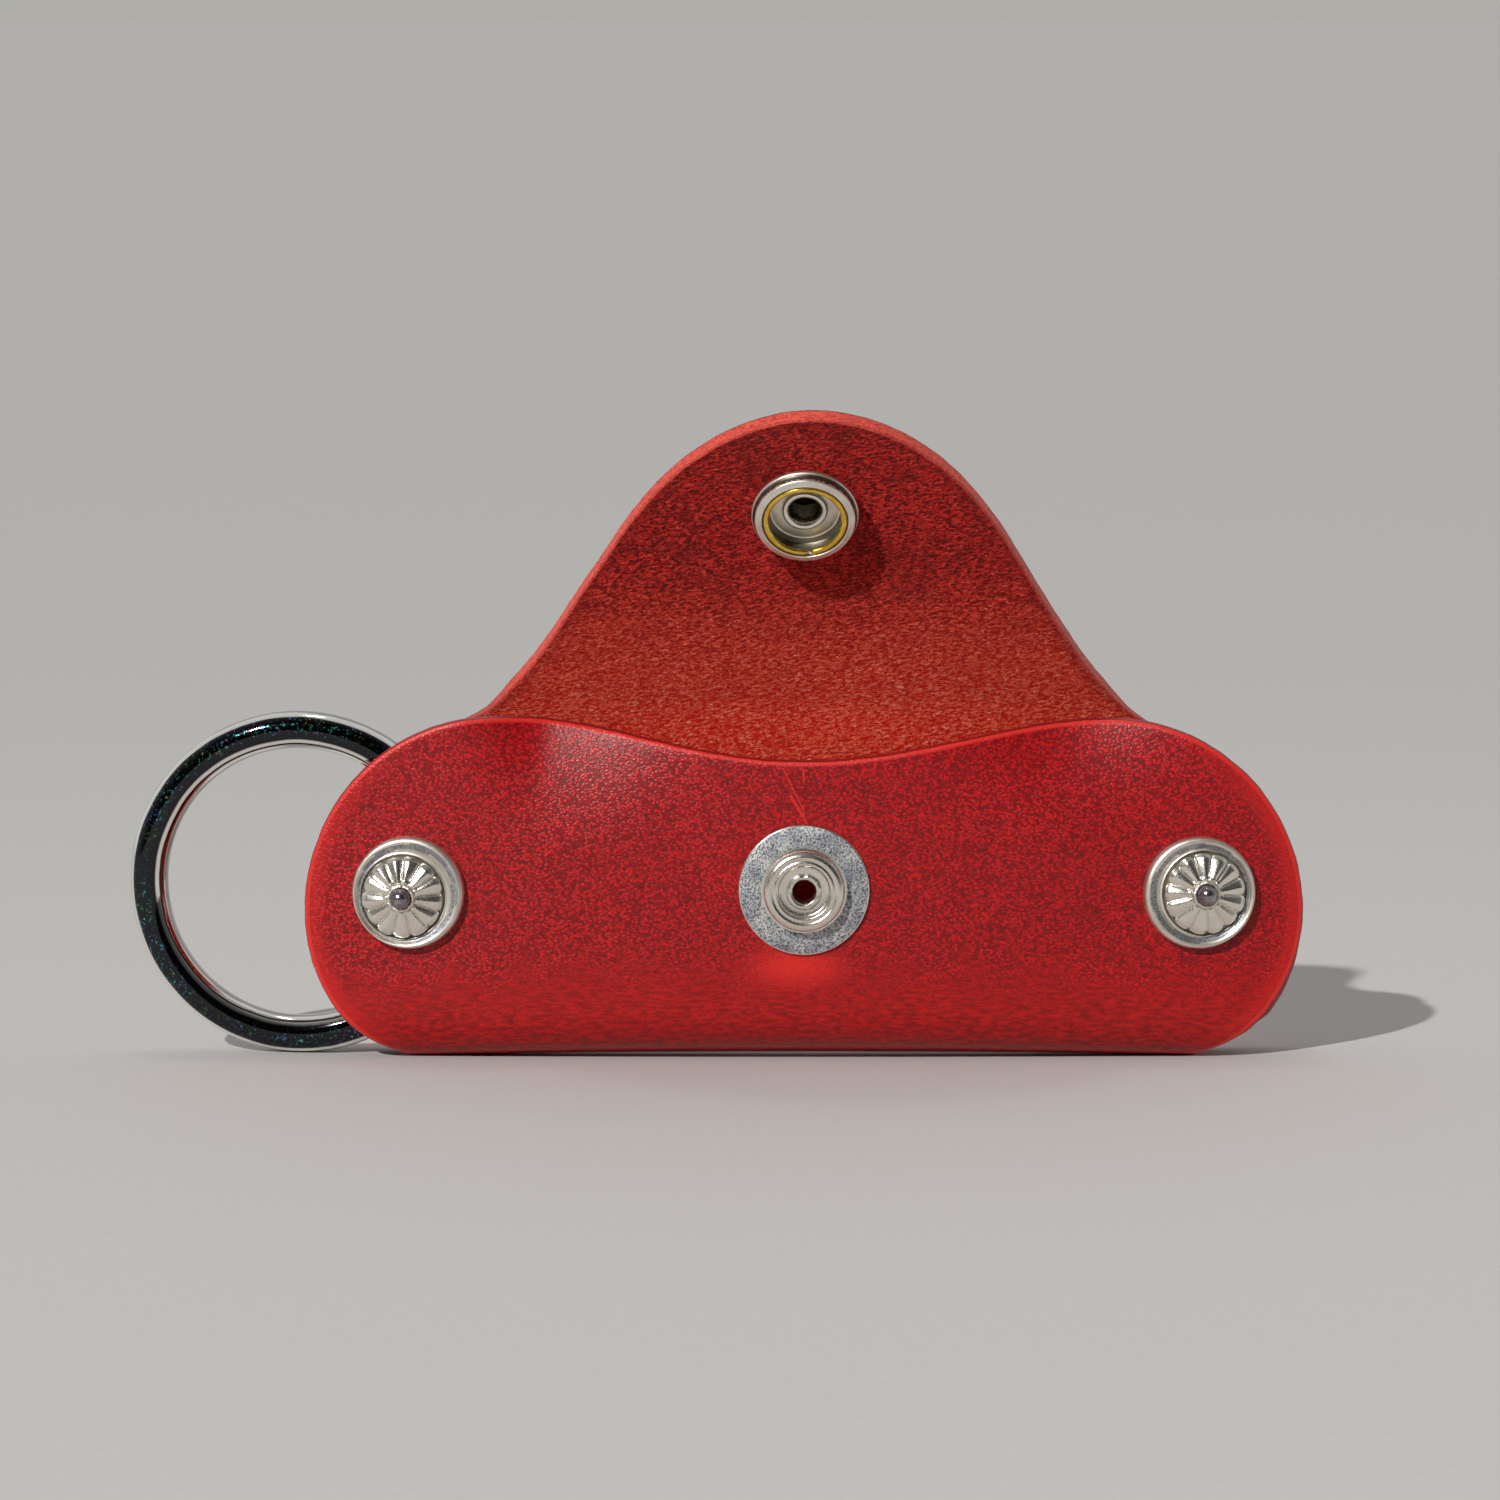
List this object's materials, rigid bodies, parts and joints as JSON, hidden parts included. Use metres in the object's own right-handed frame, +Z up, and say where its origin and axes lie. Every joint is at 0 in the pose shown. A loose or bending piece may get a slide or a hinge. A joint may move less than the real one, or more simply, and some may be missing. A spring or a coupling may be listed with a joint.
{
  "type": "snap-close key case",
  "caption": "Folded leather key case with a curved body, a bell-shaped snap flap, a decorative screw post at each end and a metal key ring on one post.",
  "frame": {"origin": "middle of the fold's flat underside, on the surface that the case stands on", "axes": "+X along the case to its right end, +Y from the front panel to the back panel, +Z up from the fold towards the flap"},
  "size_m": [0.1178, 0.0254, 0.066],
  "materials": {
    "red_leather": "crimson vegetable-tanned leather: fine pebble grain outside, rough flesh side inside the flap",
    "nickel": "satin nickel plate",
    "spring_brass": "drawn brass wire",
    "polished_steel": "mirror polish"
  },
  "bodies": {
    "case": {"leather_case": "red_leather", "snap_stud": "nickel", "snap_eyelet": "nickel", "left_cup": "nickel", "left_flower": "nickel", "left_collar": "nickel", "left_bead_screw": "polished_steel", "left_post": "polished_steel", "right_cup": "nickel", "right_flower": "nickel", "right_collar": "nickel", "right_bead_screw": "polished_steel", "right_post": "polished_steel"},
    "flap_bridge": {"leather_bridge": "red_leather"},
    "flap": {"leather_flap": "red_leather", "snap_cap": "nickel", "snap_rivet": "nickel", "snap_socket": "nickel", "snap_socket_floor": "nickel", "snap_spring": "spring_brass"},
    "ring": {"key_ring": "polished_steel"}
  },
  "joints": [
    {"name": "flap_back_bend", "type": "hinge", "parent": "case", "child": "flap_bridge", "pos_m": [0, 0.0023, 0.035], "axis": [1, 0, 0], "range_deg": [-75, 64], "deforming": ["leather_bridge"]},
    {"name": "flap_front_bend", "type": "hinge", "parent": "flap_bridge", "child": "flap", "pos_m": [0, -0.00324, 0.04245], "axis": [1, 0, 0], "range_deg": [-10, 83], "deforming": ["leather_bridge", "snap_spring"]},
    {"name": "key_ring_swing", "type": "hinge", "parent": "case", "child": "ring", "pos_m": [-0.039, 0.00203, 0.0169], "axis": [0.104, 0.9946, 0], "range_deg": [0, 45]}
  ]
}
